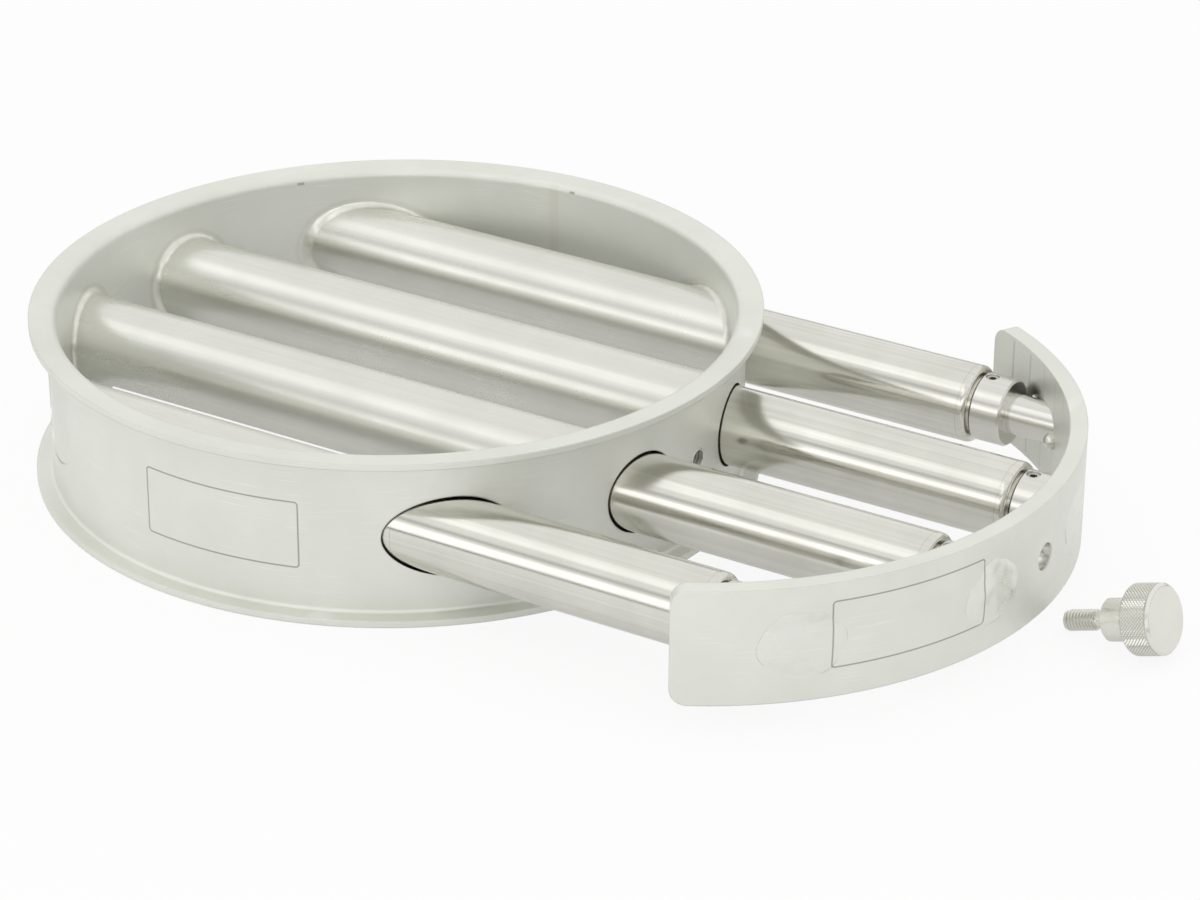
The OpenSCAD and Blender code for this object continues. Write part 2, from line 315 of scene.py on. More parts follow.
# %% Group for an etched frame
frame_group, given, result = new_group(
    "etched_frame", [("Place", VECTOR, None), ("Radius", FLOAT, 0.1), ("Angle", FLOAT, 0.0),
                     ("Height", FLOAT, 0.025), ("Half Width", FLOAT, 0.02),
                     ("Half Height", FLOAT, 0.01), ("Corner", FLOAT, 0.001),
                     ("Line", FLOAT, 0.0003)], ["Line"])
where = add_node(frame_group, "ShaderNodeSeparateXYZ", {0: given["Place"]})
turn = math_node(frame_group, "ARCTAN2", where.outputs["Y"], where.outputs["X"])
turn = math_node(frame_group, "SUBTRACT", turn, given["Angle"])
along = math_node(frame_group, "ABSOLUTE", math_node(frame_group, "MULTIPLY", turn, given["Radius"]))
rise = math_node(frame_group, "SUBTRACT", where.outputs["Z"], given["Height"])
above = math_node(frame_group, "ABSOLUTE", rise)
over = []
for measured, half in ((along, "Half Width"), (above, "Half Height")):
    inner = math_node(frame_group, "SUBTRACT", given[half], given["Corner"])
    over.append(math_node(frame_group, "SUBTRACT", measured, inner))
outside = [math_node(frame_group, "MAXIMUM", value, 0.0) for value in over]
corner = length_node(frame_group, *outside)
inside = math_node(frame_group, "MINIMUM", math_node(frame_group, "MAXIMUM", *over), 0.0)
edge = math_node(frame_group, "SUBTRACT", math_node(frame_group, "ADD", corner, inside),
                 given["Corner"])
near = math_node(frame_group, "ABSOLUTE", edge)
half_line = math_node(frame_group, "MULTIPLY", given["Line"], 0.5)
line = ramp(frame_group, near, half_line, given["Line"], 1.0, 0.0)
frame_group.links.new(line, result["Line"])
print("group", frame_group.name)

# %% [markdown]
# ## Finishes
# All of the object is stainless steel, and what differs is how it was treated. A finish
# starts with one Principled shader. The helper gives it the plain values, and hands back its
# tree so that each finish can add what varies over the surface.

# %% Start of a finish
def new_finish(name, colour, roughness, metallic=1.0):
    made = bpy.data.materials.new(name)
    made.use_nodes = True
    shader = made.node_tree.nodes["Principled BSDF"]
    shader.inputs["Base Color"].default_value = (*colour, 1)
    shader.inputs["Roughness"].default_value = roughness
    shader.inputs["Metallic"].default_value = metallic
    place = add_node(made.node_tree, "ShaderNodeTexCoord").outputs["Object"]
    return made, made.node_tree, shader, place


def use_group(tree, group, **values):
    made = add_node(tree, "ShaderNodeGroup", {key.replace("_", " "): value
                                              for key, value in values.items()}, node_tree=group)
    return made.outputs


print("finish starters ready")

# %% [markdown]
# Colour, roughness and height vary together on real metal. Most of a noise lies between 0.3 and
# 0.7, so spread stretches that part over the whole range of a colour or a roughness. An edge
# that is only softened, not shaped, gets its roundness from a Bevel node under the bump.

# %% Helpers for colour and relief
EDGE_SAMPLES = 6
NOISE_LOW, NOISE_HIGH = 0.3, 0.7


def tint(tree, mask, below, above):
    made = add_node(tree, "ShaderNodeMix", {0: mask, 6: below, 7: above}, data_type="RGBA")
    return made.outputs[2]


def spread(tree, value, low, high):
    return ramp(tree, value, NOISE_LOW, NOISE_HIGH, low, high)


def paint(tree, shader, colour, roughness):
    tree.links.new(colour, shader.inputs["Base Color"])
    tree.links.new(roughness, shader.inputs["Roughness"])


def relief(tree, shader, height, strength, depth, edge=None):
    bump = add_node(tree, "ShaderNodeBump", {"Height": height, "Strength": strength,
                    "Distance": depth})
    tree.links.new(bump.outputs[0], shader.inputs["Normal"])
    if edge:
        broken = add_node(tree, "ShaderNodeBevel", {"Radius": edge}, samples=EDGE_SAMPLES)
        tree.links.new(broken.outputs[0], bump.inputs["Normal"])


print("colour and relief helpers ready")

# %% [markdown]
# Marks lie on one side of a curved wall, so a finish needs to know two things about a point:
# how far it is from the wall's axis, and its angle round that axis. A band mask then turns
# such a measure into a soft stripe.

# %% Helpers for marks
SKIN_FROM, SKIN_TO = 0.5 * MM, 1.0 * MM


def round_wall(tree, place):
    where = add_node(tree, "ShaderNodeSeparateXYZ", {0: place})
    flat = add_node(tree, "ShaderNodeCombineXYZ", {"X": where.outputs["X"], "Y": where.outputs["Y"]})
    radius = add_node(tree, "ShaderNodeVectorMath", {0: flat.outputs[0]}, operation="LENGTH")
    angle = math_node(tree, "ARCTAN2", where.outputs["Y"], where.outputs["X"])
    return radius.outputs["Value"], angle, where.outputs["Z"]


def fade(tree, value, start, end):
    return ramp(tree, value, start, end, 1.0, 0.0, "SMOOTHSTEP")


def hollow_side(tree, radius, wall):
    return fade(tree, radius, wall + SKIN_FROM, wall + SKIN_TO)


def band(tree, value, centre, half, soft):
    off = math_node(tree, "ABSOLUTE", math_node(tree, "SUBTRACT", value, centre))
    return fade(tree, off, half, half + soft)


print("mark helpers ready")

# %% [markdown]
# The ring and the plate were welded, then pickled and glass-blasted. That leaves a pale, matt,
# slightly cool grey with faint clouds, a fine grain and a few scratches. Both carry a blank
# etched frame. One function makes both finishes. A Bevel node breaks the edges, which the
# blasting has rounded off, and each wall brings a function of its own for its marks.

# %% Pickled steel
PALE, PALE_CLOUD = (0.84, 0.848, 0.795, 1), (0.77, 0.778, 0.73, 1)
# The etch grey draws the etched frames, and is also the painted crease shade of the plate's press
# lines.
ETCH, BRIGHT = (0.40, 0.40, 0.375, 1), (0.95, 0.95, 0.92, 1)
# The dark colour marks the ring's nicks, and is also painted shade round the tacks and in the screw's
# valleys.
TINT, SOOT = (0.60, 0.57, 0.48, 1), (0.16, 0.155, 0.13, 1)
MATT_METAL, GRAIN_STRENGTH, GRAIN_DEPTH, BLASTED_EDGE = 0.75, 0.10, 0.2 * MM, 0.6 * MM
SCRATCH_TURNS = ((0.0, 0.35, 0.2), (0.5, -0.25, 0.9))


def pickled(name, centre, frame_place, add_marks, smooth=0.40, rough=0.52):
    made, tree, shader, place = new_finish(name, PALE[:3], smooth, MATT_METAL)
    grain = use_group(tree, grain_group, Place=place, Cloud_Size=22.0, Grain_Size=1400.0)
    colour = tint(tree, spread(tree, grain["Clouds"], 0.0, 1.0), PALE, PALE_CLOUD)
    moved = add_node(tree, "ShaderNodeMapping", {"Vector": place, "Location": centre}).outputs[0]
    colour = add_marks(tree, place, moved, grain["Clouds"], colour)
    for turn in SCRATCH_TURNS:
        scratched = use_group(tree, scratch_group, Place=place, Turn=turn, Amount=0.5)
        colour = tint(tree, scratched["Scratches"], colour, BRIGHT)
    etched = use_group(tree, frame_group, Place=moved, **frame_place)
    colour = tint(tree, etched["Line"], colour, ETCH)
    paint(tree, shader, colour, spread(tree, grain["Clouds"], smooth, rough))
    relief(tree, shader, grain["Grain"], GRAIN_STRENGTH, GRAIN_DEPTH, BLASTED_EDGE)
    return made


print("pickled finish ready")

# %% [markdown]
# The ring was rolled from a strip, so its bore shows the ground seam where the ends meet. The
# heat of welding left a faint straw line on the wall round every sleeve, and the bore's edge
# has two small nicks. None of this has a height that shows, so all of it is colour.

# %% Marks of the ring
RING_IN, RING_OUT = 99 * MM, 102 * MM
STRAW_R, STRAW_HALF, STRAW_SOFT, STRAW = 15.1 * MM, 0.2 * MM, 0.8 * MM, 0.5
SEAM_ANGLE, SEAM_HALF, SEAM_SOFT, SEAM = math.radians(94.6), 1.3 * MM, 0.006, 0.35
NICKS = [(math.radians(90.9), 48.1 * MM, 0.7 * MM), (math.radians(141.8), 47.4 * MM, 0.9 * MM)]
NICK_SOFT_ANGLE, NICK_SOFT = 0.004, 0.3 * MM
RING_FRAME = dict(Radius=RING_OUT, Angle=math.radians(-85.2), Height=24.6 * MM,
                  Half_Width=24.3 * MM, Half_Height=10.0 * MM)


def ring_marks(tree, place, moved, clouds, colour):
    radius, angle, height = round_wall(tree, moved)
    inside = hollow_side(tree, radius, RING_IN)
    from_tube = use_group(tree, axis_group, Place=place)["Distance"]
    straw = band(tree, from_tube, STRAW_R, STRAW_HALF, STRAW_SOFT)
    colour = tint(tree, product(tree, inside, straw, clouds, STRAW), colour, TINT)
    seam = band(tree, angle, SEAM_ANGLE, SEAM_HALF / RING_IN, SEAM_SOFT)
    colour = tint(tree, product(tree, inside, seam, clouds, SEAM), colour, TINT)
    for nick_angle, nick_z, size in NICKS:
        nick = product(tree, band(tree, angle, nick_angle, size / RING_IN, NICK_SOFT_ANGLE), clouds,
                       band(tree, height, nick_z, size / 3, NICK_SOFT), inside)
        colour = tint(tree, nick, colour, SOOT)
    return colour


ring_steel = pickled("ring_steel", (0, 0, 0), RING_FRAME, ring_marks)
print("finish", ring_steel.name)

# %% [markdown]
# The plate was bent in a press, stroke by stroke, and each stroke left an upright crease on its
# hollow side. Each crease is drawn as a darker line, partly a tool mark and partly painted shade.
# Round the upper tack weld of every stub the metal is painted dark, partly heat tint and partly
# painted shade in the corner by the tack. The weld spots on its outside share the finish, frame
# and all, but grinding has made them smoother.

# %% Marks of the plate
PULL_OUT = 101.5 * MM
PLATE_IN, PLATE_OUT, PLATE_HALF = 104.5 * MM, 109.5 * MM, 17 * MM
STROKE_FROM, STROKE, STROKES = math.radians(41.8), math.radians(5.4), 0.32
STROKE_HALF, STROKE_SOFT, STROKE_CLEAR, STROKE_END = 0.0008, 0.007, 1.6 * MM, 0.8 * MM
HARD_STROKES = [(math.radians(58.0), 0.55), (math.radians(52.6), 0.3)]
HARD_HALF, HARD_SOFT = 0.001, 0.006
BURN_SIDE, BURN_ABOVE, BURN_FROM, BURN_TO = 4.9 * MM, 5.0 * MM, 0.8 * MM, 4.6 * MM
PLATE_FRAME = dict(Radius=PLATE_OUT, Angle=math.radians(-28.1), Height=26.6 * MM,
                   Half_Width=24.1 * MM, Half_Height=9.8 * MM)
PLATE_CENTRE = (-PULL_OUT, 0, 0)


def plate_marks(tree, place, moved, clouds, colour):
    radius, angle, height = round_wall(tree, moved)
    inside = product(tree, hollow_side(tree, radius, PLATE_IN),
                     band(tree, height, MID_Z, PLATE_HALF - STROKE_CLEAR, STROKE_END))
    # Press lines: a darker line at each stroke, partly tool mark, partly painted shade of the crease.
    from_stroke = math_node(tree, "FLOORED_MODULO", math_node(
        tree, "SUBTRACT", angle, STROKE_FROM - STROKE / 2), STROKE)
    stroke = band(tree, from_stroke, STROKE / 2, STROKE_HALF, STROKE_SOFT)
    colour = tint(tree, product(tree, inside, stroke, clouds, STROKES), colour, ETCH)
    for hard_angle, strength in HARD_STROKES:
        hard = band(tree, angle, hard_angle, HARD_HALF, HARD_SOFT)
        colour = tint(tree, product(tree, inside, hard, clouds, strength), colour, ETCH)
    # Round the upper tack: painted dark, partly heat tint and partly painted shade in the corner.
    axis = use_group(tree, axis_group, Place=place)
    side = math_node(tree, "SUBTRACT", axis["Sideways"], BURN_SIDE)
    rise = math_node(tree, "SUBTRACT", axis["Above"], BURN_ABOVE)
    burnt = product(tree, inside, fade(tree, length_node(tree, side, rise), BURN_FROM, BURN_TO))
    return tint(tree, burnt, colour, SOOT)


plate_steel = pickled("plate_steel", PLATE_CENTRE, PLATE_FRAME, plate_marks)
spot_steel = pickled("spot_steel", PLATE_CENTRE, PLATE_FRAME, plate_marks, smooth=0.24, rough=0.34)
print("finishes", plate_steel.name, spot_steel.name)

# %% [markdown]
# The tubes are ground and satin-polished. They mirror the studio in long bands, a little
# blurred, with fine lines along their length and soft clouds where hands have been. The lathe
# work is the same steel with its edges broken, so one function makes all three finishes.

# %% Satin steel
LINE_SHARE, LINE_HEIGHT, FINE_DEPTH, TURNED_EDGE = 0.5, 0.4, 0.1 * MM, 0.3 * MM


def satin(name, light, dark, smooth, rough, strength, edge=None):
    made, tree, shader, place = new_finish(name, light, smooth)
    grain = use_group(tree, grain_group, Place=place, Cloud_Size=45.0, Grain_Size=2600.0)
    lines = use_group(tree, lines_group, Place=place, Along=6.0, Across=900.0)["Lines"]
    blend = math_node(tree, "MULTIPLY_ADD", lines, LINE_SHARE,
                      math_node(tree, "MULTIPLY", grain["Clouds"], 1 - LINE_SHARE))
    colour = tint(tree, spread(tree, blend, 0.0, 1.0), (*light, 1), (*dark, 1))
    paint(tree, shader, colour, spread(tree, blend, smooth, rough))
    height = math_node(tree, "MULTIPLY_ADD", lines, LINE_HEIGHT, grain["Grain"])
    relief(tree, shader, height, strength, FINE_DEPTH, edge)
    return made


sleeve_steel = satin("sleeve_steel", light=(0.80, 0.80, 0.75), dark=(0.72, 0.72, 0.67),
                     smooth=0.25, rough=0.33, strength=0.01)
bar_steel = satin("bar_steel", light=(0.82, 0.812, 0.755), dark=(0.66, 0.65, 0.60),
                  smooth=0.12, rough=0.21, strength=0.04)
turned_steel = satin("turned_steel", light=(0.80, 0.795, 0.76), dark=(0.70, 0.69, 0.65),
                     smooth=0.16, rough=0.26, strength=0.03, edge=TURNED_EDGE)
print("satin finishes", sleeve_steel.name, bar_steel.name, turned_steel.name)

# %% [markdown]
# Small metal: weld metal is bright and uneven, the lock screw is brightly turned, the thread in
# the ring has a dark finish that is painted shade for the inside of its hole, the set screws are
# a darker steel, magnets are dull sintered grey, and pole discs are mild steel. The last two sit
# inside the bars and are never seen, but the model keeps them. They differ only in colour, gloss
# and grain, so one function makes them all.

# %% Small finishes
def speckled(name, light, dark, smooth, rough, clouds, strength, edge=None):
    made, tree, shader, place = new_finish(name, light, smooth)
    grain = use_group(tree, grain_group, Place=place, Cloud_Size=clouds, Grain_Size=2200.0)
    colour = tint(tree, spread(tree, grain["Clouds"], 0.0, 1.0), (*light, 1), (*dark, 1))
    paint(tree, shader, colour, spread(tree, grain["Clouds"], smooth, rough))
    relief(tree, shader, grain["Grain"], strength, FINE_DEPTH, edge)
    return made


fillet_metal = speckled("fillet_metal", light=(0.82, 0.82, 0.765), dark=(0.73, 0.73, 0.675),
                        smooth=0.28, rough=0.42, clouds=250.0, strength=0.04)
weld_metal = speckled("weld_metal", light=(0.86, 0.85, 0.80), dark=(0.66, 0.65, 0.60),
                      smooth=0.22, rough=0.42, clouds=700.0, strength=0.1)
screw_steel = speckled("screw_steel", light=(0.84, 0.835, 0.785), dark=(0.79, 0.785, 0.74),
                       smooth=0.17, rough=0.25, clouds=60.0, strength=0.004)
# Painted shade: the tapped thread is steel, but its finish is dark to stand in for the shade in its
# hole.
thread_steel = speckled("thread_steel", light=(0.36, 0.355, 0.33), dark=(0.24, 0.235, 0.22),
                        smooth=0.30, rough=0.45, clouds=400.0, strength=0.05)
set_steel = speckled("set_steel", light=(0.62, 0.61, 0.57), dark=(0.50, 0.49, 0.46),
                     smooth=0.25, rough=0.38, clouds=400.0, strength=0.03, edge=TURNED_EDGE)
magnet_grey = speckled("magnet_grey", light=(0.20, 0.20, 0.21), dark=(0.14, 0.14, 0.15),
                       smooth=0.45, rough=0.6, clouds=400.0, strength=0.1)
pole_steel = speckled("pole_steel", light=(0.46, 0.46, 0.46), dark=(0.36, 0.36, 0.36),
                      smooth=0.35, rough=0.5, clouds=300.0, strength=0.08)
print("small finishes ready")

# %% [markdown]
# Shade falls between the points of the screw's knurl and between its threads, and it is painted
# into the colour. A noise can't know where those are, so the mesh tells it: further down, the
# screw's points get an attribute named valley, and here the finish reads it and darkens the
# colour there as painted shade.

# %% Painted shade in the screw's valleys
DIRT = 0.24
tree = screw_steel.node_tree
marked = add_node(tree, "ShaderNodeAttribute", attribute_name="valley")
# Painted shade: the marked valleys of knurl and thread are darkened where shade falls.
dirt = math_node(tree, "MULTIPLY", marked.outputs["Fac"], DIRT)
screw_colour = tree.nodes["Principled BSDF"].inputs["Base Color"]
tree.links.new(tint(tree, dirt, screw_colour.links[0].from_socket, SOOT), screw_colour)
print("dirt in the valleys of", screw_steel.name)

# %% [markdown]
# ## Dressing the solids
# Each CAD solid now gets its finish. That could be done by hand, slot by slot, but a table of
# how names begin says the same in a few lines, and the longest beginning that fits counts.

# %% Dress the CAD nodes
FINISH_OF = {"ring_housing": ring_steel, "pull_plate": plate_steel, "sleeve_": sleeve_steel,
             "sleeve_cap": ring_steel, "bar_": bar_steel, "coupling": turned_steel,
             "grub_screws": set_steel, "lock_screw": screw_steel, "magnets": magnet_grey,
             "pole_discs": pole_steel}
for name, node in NODES.items():
    starts = [key for key in FINISH_OF if name.startswith(key)]
    finish = FINISH_OF[max(starts, key=len)]
    for holder in node.material_slots:
        holder.material = finish
print("dressed", len(NODES), "nodes")

# %% [markdown]
# ## Helpers for new pieces
# Every new piece starts with nothing else selected, because an operator acts on all that is. It
# ends with its modifiers applied, its place put into its mesh, its faces smooth, one finish and
# a body to ride on. Short helpers do both, so that no piece misses a step.

# %% Start and keep a piece
SMOOTH_ANGLE = math.radians(40)


def leave_edit():
    bpy.ops.object.mode_set(mode="OBJECT")


def start_alone():
    if bpy.context.mode != "OBJECT":
        leave_edit()
    bpy.ops.object.select_all(action="DESELECT")


def edit_all():
    bpy.ops.object.mode_set(mode="EDIT")
    bpy.ops.mesh.select_all(action="SELECT")


def apply_all(piece):
    for modifier in list(piece.modifiers):
        bpy.ops.object.modifier_apply(modifier=modifier.name)


def keep_piece(piece, name, body, finish):
    piece.name = name
    piece.data.name = name
    bpy.ops.object.transform_apply(location=True, rotation=True, scale=True)
    bpy.ops.object.shade_smooth_by_angle(angle=SMOOTH_ANGLE)
    piece.data.materials.clear()
    piece.data.materials.append(finish)
    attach(piece, body)


print("piece helpers ready")

# %% [markdown]
# Three modifiers come back on the welds: Displace with a cloud texture makes the metal uneven,
# Solidify gives a skin its back, and Shrinkwrap throws points along X onto a helper wall, a
# plain cylinder that is removed again once it has served.

# %% Modifiers for the welds
WALL_POINTS, WALL_HIGH = 720, 60 * MM


def add_modifier(piece, kind, **settings):
    made = piece.modifiers.new(kind.lower(), kind)
    for key, value in settings.items():
        setattr(made, key, value)


def clouds_texture(name, size, depth=2):
    made = bpy.data.textures.new(name, "CLOUDS")
    made.noise_scale = size
    made.noise_depth = depth
    return made


def displace(piece, texture, strength, direction="NORMAL"):
    add_modifier(piece, "DISPLACE", texture=texture, texture_coords="GLOBAL", strength=strength,
                 direction=direction)


def give_back(piece, thickness):
    add_modifier(piece, "SOLIDIFY", thickness=thickness, offset=-1)


def helper_wall(radius, x=0.0):
    start_alone()
    bpy.ops.mesh.primitive_cylinder_add(vertices=WALL_POINTS, radius=radius, depth=WALL_HIGH,
                                        location=(x, 0, MID_Z))
    return bpy.context.object


def throw_on(piece, wall, side, points=""):
    add_modifier(piece, "SHRINKWRAP", target=wall, vertex_group=points, wrap_method="PROJECT",
                 use_project_x=True, use_positive_direction=side > 0,
                 use_negative_direction=side < 0)


def clear_away(helpers):
    for helper in helpers:
        bpy.data.objects.remove(helper)


print("modifier helpers ready")

# %% [markdown]
# ## Welds of the sleeves
# Each sleeve is welded into the ring all round, on the inside of the wall. The weld is a smooth
# hollow fillet between a round tube and a round wall. Its edges could be worked out with
# formulas, but it is easier to let Blender find them: a flat ring of loops lies across the
# tube, and Shrinkwrap throws every loop onto a helper wall of its own, a little further from
# the real one for every step towards the tube.

# %% Loops across a tube
LOOP_POINTS, LOOP_NEAR = 168, 0.02 * MM


def disc_across(x, y, radius, points):
    start_alone()
    bpy.ops.mesh.primitive_circle_add(vertices=points, radius=radius, fill_type="NGON",
                                      location=(x, y, MID_Z), rotation=(0, math.pi / 2, 0))
    bpy.ops.object.transform_apply(location=True, rotation=True, scale=True)
    edit_all()
    return bpy.context.object


def from_bar(place, y):
    return math.hypot(place.y - y, place.z - MID_Z)


def loops_on_walls(y, radii, walls, side):
    piece = disc_across(0.0, y, radii[0], LOOP_POINTS)
    for outer, inner in zip(radii, radii[1:]):
        bpy.ops.mesh.inset(thickness=outer - inner)
    bpy.ops.mesh.delete(type="FACE")
    leave_edit()
    for k, (radius, wall) in enumerate(zip(radii, walls)):
        loop = piece.vertex_groups.new(name=f"loop_{k}")
        loop.add([v.index for v in piece.data.vertices
                  if abs(from_bar(v.co, y) - radius) < LOOP_NEAR], 1.0, "REPLACE")
        throw_on(piece, wall, side, loop.name)
    apply_all(piece)
    return piece


def turn_inside_out():
    edit_all()
    bpy.ops.mesh.flip_normals()
    leave_edit()


print("loop helpers ready")

# %% Weld fillets of the sleeves
BAR_Y = [75 * MM, 25 * MM, -25 * MM, -75 * MM]
SIDES = ((-1, "closed"), (1, "open"))
sleeve_low, sleeve_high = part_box("sleeve_2")
SLEEVE_R = (sleeve_high[2] - sleeve_low[2]) / 2
FILLET, FILLET_STEPS, SUNK = 1.9 * MM, 7, 0.06 * MM
ARC = [math.pi / 2 * k / FILLET_STEPS for k in range(FILLET_STEPS + 1)]
FILLET_R = [SLEEVE_R - SUNK + (FILLET + SUNK) * (1 - math.sin(a)) for a in ARC]
FILLET_D = [-SUNK + (FILLET + SUNK) * (1 - math.cos(a)) for a in ARC]
LUMP_SIZE, LUMP_HIGH, FILLET_BACK = 2.6 * MM, 0.22 * MM, 0.5 * MM
lumps = clouds_texture("weld_lumps", LUMP_SIZE)
walls = [helper_wall(RING_IN - depth) for depth in FILLET_D]
for side, word in SIDES:
    for i, y in enumerate(BAR_Y):
        weld = loops_on_walls(y, FILLET_R, walls, side)
        if side > 0:
            turn_inside_out()
        displace(weld, lumps, LUMP_HIGH)
        give_back(weld, FILLET_BACK)
        apply_all(weld)
        keep_piece(weld, f"weld_bead_{word}_{i + 1}", "housing", fillet_metal)
clear_away(walls)
print("8 weld fillets of", len(weld.data.polygons), "faces")

# %% [markdown]
# Outside, the sleeves end flush with the wall, and the joint was welded and ground level. What
# is left is a low, soft ring round each hole. It is made like the fillets: loops across the
# tube, thrown onto walls that rise a hair above the real one and then sink back into it.

# %% Ground welds outside
GROUND_R = [15.6 * MM, 14.6 * MM, 13.6 * MM, SLEEVE_R - 0.65 * MM]
GROUND_RISE = [-0.10 * MM, 0.0, 0.04 * MM, 0.04 * MM]
GROUND_BACK = 0.3 * MM
walls = [helper_wall(RING_OUT + rise) for rise in GROUND_RISE]
for side, word in SIDES:
    for i, y in enumerate(BAR_Y):
        ground = loops_on_walls(y, GROUND_R, walls, side)
        if side < 0:
            turn_inside_out()
        give_back(ground, GROUND_BACK)
        apply_all(ground)
        keep_piece(ground, f"ground_weld_{word}_{i + 1}", "housing", ring_steel)
clear_away(walls)
print("8 ground welds of", len(ground.data.polygons), "faces")

# %% [markdown]
# ## Lock screw
# The knurled screw is a lathe part. A cylinder could be scaled and cut into shape, but a lathe
# part is its section: it is drawn point by point by extruding a single vertex, and spun round
# its axis.

# %% Helpers for turned parts
SEED_SIZE, MERGE = 1 * MM, 0.002 * MM


def first_point(x, r):
    start_alone()
    bpy.ops.mesh.primitive_plane_add(size=SEED_SIZE, location=(0, 0, 0))
    piece = bpy.context.object
    bpy.ops.object.mode_set(mode="EDIT")
    bpy.ops.mesh.select_mode(type="VERT")
    bpy.ops.mesh.select_all(action="SELECT")
    bpy.ops.mesh.merge(type="CENTER")
    bpy.ops.transform.translate(value=(x, 0, r))
    return piece


def draw_section(points):
    piece = first_point(*points[0])
    for (x0, r0), (x1, r1) in zip(points, points[1:]):
        bpy.ops.mesh.extrude_vertices_move(
            TRANSFORM_OT_translate={"value": (x1 - x0, 0, r1 - r0)})
    return piece


def spin_section(points, steps):
    piece = draw_section(points)
    bpy.ops.mesh.select_all(action="SELECT")
    bpy.ops.mesh.spin(steps=steps, angle=2 * math.pi, center=(0, 0, 0), axis=(1, 0, 0))
    bpy.ops.mesh.select_all(action="SELECT")
    bpy.ops.mesh.remove_doubles(threshold=MERGE)
    bpy.ops.mesh.normals_make_consistent(inside=False)
    return piece


print("turning helpers ready")

# %% [markdown]
# With no window there is no mouse to click on a face, so what an operator should act on is
# picked in code: a test says yes or no to every face, edge or point of the piece.

# %% Pick by place
def pick(piece, kind, test):
    bpy.ops.mesh.select_mode(type=kind)
    bpy.ops.mesh.select_all(action="DESELECT")
    mesh = bmesh.from_edit_mesh(piece.data)
    chosen = {"FACE": mesh.faces, "EDGE": mesh.edges, "VERT": mesh.verts}[kind]
    for element in [e for e in chosen if test(e)]:
        element.select_set(True)
    bmesh.update_edit_mesh(piece.data)


def from_axis(place):
    return math.hypot(place.y, place.z)


print("pick ready")

# %% [markdown]
# The screw has a stud, a neck, a shoulder and a head. The section runs from the neck to the
# middle of the head's front. On the head it has a row of points for every row of the knurl, so
# that the spun band comes out as a grid of squares. The stud is wound as a thread further down.

# %% Body of the screw
STUD_L, NECK_FROM, NECK_R, STUD_R = 13.5 * MM, 9.6 * MM, 2.35 * MM, 3 * MM
SHOULDER_R, HEAD_X, HEAD_R, HEAD_END, EDGE = 6 * MM, 21.5 * MM, 10 * MM, 31 * MM, 0.7 * MM
ROOT_EASE, SHOULDER_EASE, HEAD_BACK = 0.3 * MM, 0.4 * MM, 1.1 * MM
FRONT_EDGE = [(-0.75, -0.1), (-0.1, -0.7), (0, -0.9), (0, -1.2), (0, -5)]
KNURL_ROWS, KNURL_STEPS, KNURL_DEPTH = 8, 58, 0.28 * MM
BAND_R, BAND_CLEAR = HEAD_R - KNURL_DEPTH, 1.3 * MM
band_from, band_to = HEAD_X + EDGE, HEAD_END - BAND_CLEAR
rows = [(band_from + (band_to - band_from) * k / KNURL_ROWS, BAND_R)
        for k in range(KNURL_ROWS + 1)]
front = [(HEAD_END + x * MM, HEAD_R + r * MM) for x, r in FRONT_EDGE]
section = [(NECK_FROM, 0), (NECK_FROM, NECK_R), (STUD_L - ROOT_EASE, NECK_R),
           (STUD_L, NECK_R + ROOT_EASE), (STUD_L, SHOULDER_R - SHOULDER_EASE),
           (STUD_L + SHOULDER_EASE, SHOULDER_R), (HEAD_X, SHOULDER_R), (HEAD_X, HEAD_R - HEAD_BACK),
           *rows, *front, (HEAD_END, 0)]
screw = spin_section(section, KNURL_STEPS)
print("screw body drawn with", len(section), "points")

# %% [markdown]
# A wheel presses the diamond knurl into the turned band. Bump in the finish would leave the
# outline smooth, so the knurl is modelled: the band's squares are poked, the old edges are
# dissolved, which leaves diamonds, and the diamonds are poked outwards to points.

# %% Knurl
KNURL_PROUD, BAND_SHARE = 0.06 * MM, 0.98
HAIR, HAIR_TURN = 1e-6, 1e-4


def on_band(place):
    return band_from - HAIR < place.x < band_to + HAIR and from_axis(place) > BAND_R * BAND_SHARE


def straight(edge):
    a, b = (v.co for v in edge.verts)
    level = abs(a.x - b.x) < HAIR
    turned = abs(math.atan2(a.y, a.z) - math.atan2(b.y, b.z))
    return level or min(turned, abs(turned - 2 * math.pi)) < HAIR_TURN


pick(screw, "FACE", lambda f: all(on_band(v.co) for v in f.verts))
bpy.ops.mesh.poke()
pick(screw, "EDGE", lambda e: straight(e) and all(on_band(v.co) for v in e.verts)
     and band_from + HAIR < sum(v.co.x for v in e.verts) / 2 < band_to - HAIR)
bpy.ops.mesh.dissolve_edges(use_verts=False)
pick(screw, "FACE", lambda f: len(f.verts) == 4 and all(on_band(v.co) for v in f.verts))
bpy.ops.mesh.poke(offset=KNURL_DEPTH + KNURL_PROUD)
print("knurl of", KNURL_ROWS, "by", KNURL_STEPS, "diamonds")

# %% [markdown]
# The stud's thread is a true helix. Stacked rings would look alike from afar, but not at the
# ends. One pitch of the V section goes through the Screw modifier, which winds it along the
# axis. Both ends are then cut square with bisect and filled, and the tip is drawn in.

# %% Helpers for threads
THREAD_PITCH, THREAD_STEPS, FLAT_SHARE, CUT_EXACT = 1 * MM, 32, 8, 0.001 * MM


